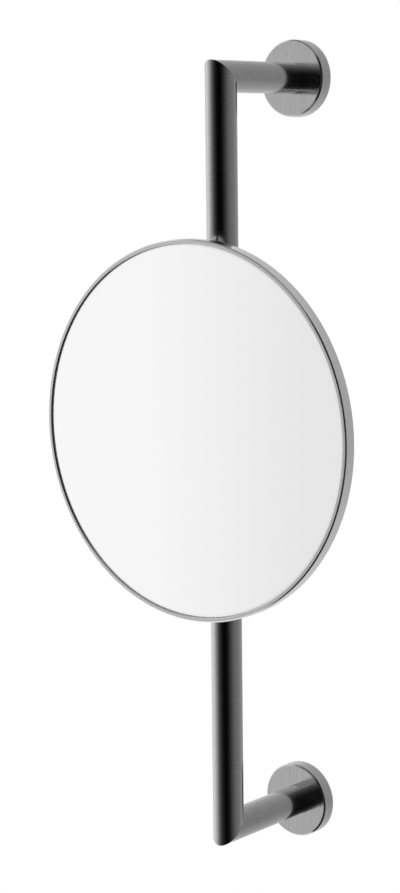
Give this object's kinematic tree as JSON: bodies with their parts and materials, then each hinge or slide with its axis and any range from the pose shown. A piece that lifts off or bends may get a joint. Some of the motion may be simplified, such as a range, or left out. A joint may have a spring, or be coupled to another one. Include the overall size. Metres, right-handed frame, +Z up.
{
  "type": "makeup mirror",
  "caption": "Round makeup mirror that slides, turns and tilts on an upright wall rail with mitred arms and round rosettes, in brushed steel.",
  "frame": {"origin": "on the wall, midway between the two rosettes, which is the centre of the four wall screw holes", "axes": "+Z up along the rail, +Y into the wall, +X to the right seen from the front; the mirror faces -Y at rest"},
  "size_m": [0.1914, 0.0938, 0.4244],
  "materials": {
    "satin_steel": "brushed across the tubes and round the discs",
    "plain_steel": "mill finish",
    "zinc_plate": "bright zinc plated",
    "screw_steel": "machined",
    "spring_steel": "dark spring steel",
    "nylon": "moulded, satin",
    "brake_rubber": "matt",
    "gasket_rubber": "matt",
    "foam": "closed-cell foam tape",
    "mirror_glass": "silvered, polished"
  },
  "bodies": {
    "wall_rail": {"rail_tube": "satin_steel", "upper_arm_tube": "satin_steel", "lower_arm_tube": "satin_steel", "upper_rosette": "satin_steel", "lower_rosette": "satin_steel", "upper_arm_plug": "plain_steel", "lower_arm_plug": "plain_steel", "upper_wall_plate": "zinc_plate", "lower_wall_plate": "zinc_plate", "rosette_screws": "screw_steel", "rosette_grub_screws": "screw_steel"},
    "glide": {"glide_bush_front": "nylon", "glide_bush_back": "nylon", "brake_pad": "brake_rubber", "brake_spring": "spring_steel"},
    "collar": {"collar_front": "satin_steel", "collar_back": "satin_steel", "collar_screws": "screw_steel"},
    "mirror_head": {"hinge_bracket": "plain_steel", "bracket_studs": "screw_steel", "bracket_nuts": "screw_steel", "friction_washers": "nylon", "tilt_bolt": "screw_steel", "tilt_spring_washer": "spring_steel", "tilt_nut": "screw_steel", "rim_ring": "satin_steel", "mirror_glass": "mirror_glass", "glass_gasket": "gasket_rubber", "foam_pad": "foam", "back_cover": "satin_steel"}
  },
  "joints": [
    {"name": "height", "type": "slide", "parent": "wall_rail", "child": "glide", "axis": [0, 0, 1], "range_m": [-0.1845, 0.1493]},
    {"name": "swivel", "type": "hinge", "parent": "glide", "child": "collar", "pos_m": [0, -0.0655, 0.0176], "axis": [0, 0, 1], "range_deg": [-50, 50]},
    {"name": "tilt", "type": "hinge", "parent": "collar", "child": "mirror_head", "pos_m": [0, -0.082, 0.0176], "axis": [1, 0, 0], "range_deg": [-7, 7]}
  ]
}
